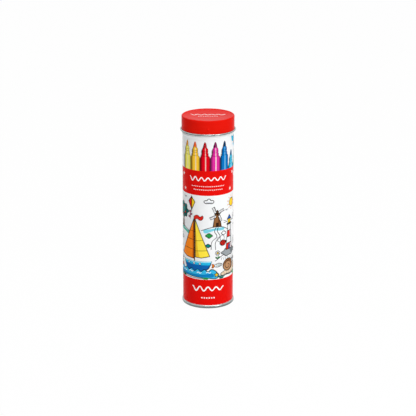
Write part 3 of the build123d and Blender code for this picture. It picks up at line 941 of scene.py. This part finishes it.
barrel_model = turned(
    "barrel_model",
    [(barrel_bore, barrel_foot), (barrel_radius - moulded_edge, barrel_foot)]
    + [(barrel_radius, barrel_foot + moulded_edge)]
    + arc((neck_radius, shoulder_foot), barrel_radius - neck_radius, 0, 72, 10)
    + [(neck_radius, neck_foot), (neck_radius, groove_foot), (groove_radius, groove_foot)]
    + [(groove_radius, nose_foot), (nose_radius, nose_foot), (nose_radius, nose_top - nose_edge)]
    + [(nose_radius - nose_edge, nose_top), (nib_bore, nose_top)]
    + [(nib_bore, bore_top + barrel_bore - nib_bore), (barrel_bore, bore_top)],
    pen_steps,
)
soften(barrel_model)

cap_model = turned(
    "cap_model",
    [(0, chamber_roof), (0, cap_floor)]
    + [(head_bore - cap_round, cap_floor), (head_bore, cap_floor + cap_round)]
    + arc((head_bore + cap_round / 2, cap_top - cap_round / 2), cap_round / 2, 180, 90, 4)
    + arc((cap_top_radius - cap_round, cap_top - cap_round), cap_round, 90, 0, 6)
    + bulge(cap_radius - hair, grip_ring, grip_ring_half, -grip_ring_depth, 6)[::-1]
    + [(cap_radius, cap_mouth + moulded_edge), (cap_radius - moulded_edge, cap_mouth), (cap_bore, cap_mouth)]
    + [(cap_bore, seal_foot), (seal_bore, seal_foot), (seal_bore, seal_top)]
    + [(chamber_radius, seal_top), (chamber_radius, chamber_roof)],
    pen_steps,
)
rib_middle = (0, 0, cap_floor + cross_rib_height / 2)
for turn in (0, pi / 2):
    bpy.ops.mesh.primitive_cube_add(size=1, location=rib_middle, rotation=(0, 0, turn))
    rib = bpy.context.object
    rib.scale = (2 * head_bore + cap_round, cross_rib_width, cross_rib_height)
    bpy.ops.object.transform_apply(location=True, rotation=True, scale=True)
    alone(cap_model)
    weld = cap_model.modifiers.new("rib", "BOOLEAN")
    weld.operation = "UNION"
    weld.object = rib
    bpy.ops.object.modifier_apply(modifier="rib")
    bpy.data.objects.remove(rib)
soften(cap_model)

for name, (body_code, nib_code) in pen_inks.items():
    # Moulded polypropylene, coloured through: a soft gloss, faint flow marks and a fine skin from the mould.
    plastic, output, place = new_finish("Moulded polypropylene " + name)
    flow = node(
        plastic, "ShaderNodeTexNoise", {"Vector": place}, scale=1 / (7 * mm), detail=2.0, distortion=0.6,
    )
    pigment = colour(body_code)
    tones = node(
        plastic, "ShaderNodeMixRGB", {"Fac": flow.outputs["Fac"]},
        color1=blend(pigment, black, 0.06), color2=blend(pigment, clear_white, 0.03),
    )
    skin = node(plastic, "ShaderNodeTexNoise", {"Vector": place}, scale=1 / (0.25 * mm), detail=2.0)
    grain = node(
        plastic, "ShaderNodeBump", {"Height": skin.outputs["Fac"]}, strength=0.06, distance=0.02 * mm,
    )
    gloss = node(plastic, "ShaderNodeMapRange", {"Value": flow.outputs["Fac"]}, to_min=0.28, to_max=0.38)
    shell = node(
        plastic, "ShaderNodeBsdfPrincipled",
        {"Base Color": tones.outputs[0], "Roughness": gloss.outputs[0], "Normal": grain.outputs[0]}, ior=1.49,
    )
    plastic.node_tree.links.new(shell.outputs[0], output.inputs["Surface"])

    # Bonded fibre and felt, soaked with ink: matt, with the fibres running along the pen.
    fibre, output, place = new_finish("Ink-soaked fibre " + name)
    along = node(fibre, "ShaderNodeMapping", {"Vector": place}, scale=(1, 1, 0.08))
    strands = node(
        fibre, "ShaderNodeTexNoise", {"Vector": along.outputs[0]}, scale=1 / (0.15 * mm), detail=3.0,
    )
    ink = colour(nib_code)
    tones = node(
        fibre, "ShaderNodeMixRGB", {"Fac": strands.outputs["Fac"]},
        color1=blend(ink, black, 0.35), color2=blend(ink, clear_white, 0.08),
    )
    nap = node(fibre, "ShaderNodeBump", {"Height": strands.outputs["Fac"]}, strength=0.4, distance=0.05 * mm)
    felt = node(
        fibre, "ShaderNodeBsdfPrincipled", {"Base Color": tones.outputs[0], "Normal": nap.outputs[0]},
        roughness=0.9, sheen_weight=0.2,
    )
    fibre.node_tree.links.new(felt.outputs[0], output.inputs["Surface"])

    low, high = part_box("cap_" + name)
    middle = ((low.x + high.x) / 2, (low.y + high.y) / 2, 0)
    for kind, model, body in (("barrel", barrel_model, "pen_"), ("cap", cap_model, "pen_cap_")):
        piece = stand(model, f"moulded_{kind}_{name}", middle)
        piece.data.materials.append(plastic)
        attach(piece, body + name)
        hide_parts(f"{kind}_{name}")
    for kind, finish in (("end_plug", plastic), ("nib", fibre), ("ink_reservoir", fibre)):
        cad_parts[f"{kind}_{name}"].material_slots[0].material = finish
for model in (barrel_model, cap_model):
    bpy.data.objects.remove(model)


# The lid: a slip lid drawn in one piece from tinplate, enamelled red outside and bare inside.
# Its panel is stepped down inside a rounded corner, and its skirt has three pips and ends in an outward curl.
lid_radius = 22.19 * mm
lid_bore = lid_radius - tin
lid_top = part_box("lid")[1].z
lid_corner = 0.9 * mm
lid_step_middle, lid_step_half, lid_step_depth = 20.59 * mm, 0.35 * mm, 0.35 * mm
curl_middle = (22.67 * mm, 153.07 * mm)
curl_radius = 0.7 * mm
curl_start, curl_end = 180, 480
edge_slack = 0.02 * mm
pip_height_at, pip_reach, pip_out = 157.47 * mm, 1.05 * mm, 0.8 * mm
pip_patch, pip_row_gap = 1.15 * pip_reach, 0.2 * mm
pip_rows = [pip_height_at + n * pip_row_gap for n in range(-6, 7)]
lid_steps = 384

# Red enamel, stoved on: an even, opaque red with a high gloss and the faintest roller texture.
red_enamel, output, place = new_finish("Stoved red enamel")
tones = node(red_enamel, "ShaderNodeTexNoise", {"Vector": place}, scale=1 / (11 * mm), detail=2.0)
reds = node(
    red_enamel, "ShaderNodeMixRGB", {"Fac": tones.outputs["Fac"]},
    color1=colour("#DA150A"), color2=colour("#E0180B"),
)
coat(red_enamel, output, place, reds.outputs[0], tones.outputs["Fac"], (0.14, 0.2), 1.1 * mm, shine=0.015)


def panel_step(height):
    """The step in the lid's panel, from the sunk middle out to its border at a height."""
    shares = [n / 8 for n in range(9)]
    radii = [lid_step_middle + lid_step_half * (2 * share - 1) for share in shares]
    drops = [lid_step_depth * (1 + cos(pi * share)) / 2 for share in shares]
    return [(radius, height - drop) for radius, drop in zip(radii, drops)]


corner_middle = (lid_radius - lid_corner, lid_top - lid_corner)
drawn_lid = turned(
    "drawn_lid",
    [(0, lid_top - lid_step_depth - tin), (0, lid_top - lid_step_depth)]
    + panel_step(lid_top) + arc(corner_middle, lid_corner, 90, 0, 10)
    + [(lid_radius, height) for height in reversed(pip_rows)]
    + arc(curl_middle, curl_radius - tin, curl_start, curl_end, 22)
    + arc(curl_middle, curl_radius, curl_end, curl_start, 22)
    + [(lid_bore, height) for height in pip_rows]
    + arc(corner_middle, lid_corner - tin, 0, 90, 10) + panel_step(lid_top - tin)[::-1],
    lid_steps,
)


def pip_distance(place):
    """How far a point of the lid's skirt is from the middle of the nearest pip, along the skirt."""
    turn = (atan2(place.x, -place.y) + pi / 3) % (tau / 3) - pi / 3
    return hypot(turn * lid_radius, place.z - pip_height_at)


pick(drawn_lid, lambda middle, normal: pip_distance(middle) < pip_patch)
bpy.ops.mesh.subdivide(number_cuts=3)
mode("OBJECT")
for corner in drawn_lid.data.vertices:
    off = pip_distance(corner.co) / pip_reach
    if off < 1:
        out = pip_out * (1 - off ** 2) ** 2 / hypot(corner.co.x, corner.co.y)
        corner.co.xy += corner.co.xy * out
finish_faces(
    drawn_lid, (red_enamel, tinplate),
    lambda middle, normal: normal.z < -0.5 and hypot(middle.x, middle.y) < lid_bore
    or middle.z < curl_middle[1] + edge_slack
    or hypot(middle.x, middle.y) > lid_radius + edge_slack and middle.z < curl_middle[1] + curl_radius
    or normal.x * middle.x + normal.y * middle.y < 0 and normal.z < 0.1,
)
soften(drawn_lid)
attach(drawn_lid, "lid")
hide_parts("lid")

# Its panel has a white wave and a row of dots, printed like the tube's.
lid_white = "#F6E6E4"
marks = [drawn(wave(0, 1.4, 14.5, 3.2, 5), lid_white, 1, 0.9, closed=False)]
marks += [drawn(ellipse(1.9 * n, -4.4, 0.6, count=6), lid_white) for n in range(-4, 5)]
lid_print = sheet_of("printed_lid_marks", marks)
lid_print.location.z = lid_top - lid_step_depth
bpy.ops.object.transform_apply(location=True, rotation=False, scale=False)
soften(lid_print)
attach(lid_print, "lid")
bpy.data.objects.remove(pen_point)


# The camera stands in front of the tin and looks down on it by 18 degrees, which fits the photograph best.
# The floor is plain. Soft boxes light the tin from the right in front, from above and weakly from the left.
aim = Vector((0, 0, 83.1 * mm))
lift = radians(18)
distance = 1.2
lens = bpy.data.cameras.new("photo_camera")
lens.lens = 122
lens.sensor_width = 36
camera = bpy.data.objects.new("photo_camera", lens)
camera.location = aim + distance * Vector((0, -cos(lift), sin(lift)))
camera.rotation_euler = (pi / 2 - lift, 0, 0)
bpy.context.collection.objects.link(camera)
bpy.context.scene.camera = camera

for name, place, size, watts in (
    ("key_soft_box", (0.9, -1.0, 0.55), 0.4, 8.3),
    ("fill_soft_box", (-1.1, -0.7, 0.6), 0.9, 0.9),
    ("top_soft_box", (0.1, -0.2, 1.35), 0.6, 8.0),
):
    light = bpy.data.lights.new(name, "AREA")
    light.size = size
    light.energy = watts
    lamp = bpy.data.objects.new(name, light)
    lamp.location = place
    lamp.rotation_euler = (aim - lamp.location).to_track_quat("-Z", "Y").to_euler()
    bpy.context.collection.objects.link(lamp)


def white_rays(setting):
    """One for the rays that meet the studio as plain white: the camera's, mirrored and transmitted ones."""
    rays = node(setting, "ShaderNodeLightPath").outputs
    direct = node(
        setting, "ShaderNodeMath", {0: rays["Is Camera Ray"], 1: rays["Is Glossy Ray"]}, operation="MAXIMUM",
    )
    seen = node(
        setting, "ShaderNodeMath",
        {0: direct.outputs[0], 1: rays["Is Transmission Ray"]}, operation="MAXIMUM",
    )
    return seen.outputs[0]


# Seen or mirrored, the paper glows almost white with a trace of shadow; other rays meet its matt face.
glow_share = 0.98
bpy.ops.mesh.primitive_plane_add(size=20)
floor = bpy.context.object
floor.name = floor.data.name = "studio_floor"
floor_paint, output, place = new_finish("Matt studio paper")
share = node(floor_paint, "ShaderNodeMath", {0: white_rays(floor_paint)}, operation="MULTIPLY")
share.inputs[1].default_value = glow_share
paper_face = node(floor_paint, "ShaderNodeBsdfDiffuse", color=colour("#E9E9E9"))
glow = node(floor_paint, "ShaderNodeEmission", color=(1, 1, 1, 1), strength=1.0)
mixed = node(
    floor_paint, "ShaderNodeMixShader", {0: share.outputs[0], 1: paper_face.outputs[0], 2: glow.outputs[0]},
)
floor_paint.node_tree.links.new(mixed.outputs[0], output.inputs["Surface"])
floor.data.materials.append(floor_paint)

# The room is plain white where it is seen or mirrored, and lights the rest by less than half of that.
room_light = 0.47
world = bpy.data.worlds.new("Studio")
bpy.context.scene.world = world
world.use_nodes = True
world.node_tree.nodes.clear()
strength = node(world, "ShaderNodeMapRange", {"Value": white_rays(world)}, to_min=room_light, to_max=1.0)
sky = node(world, "ShaderNodeBackground", {"Strength": strength.outputs[0]}, color=(1, 1, 1, 1))
node(world, "ShaderNodeOutputWorld", {"Surface": sky.outputs[0]})

bpy.context.scene.view_settings.view_transform = "Standard"
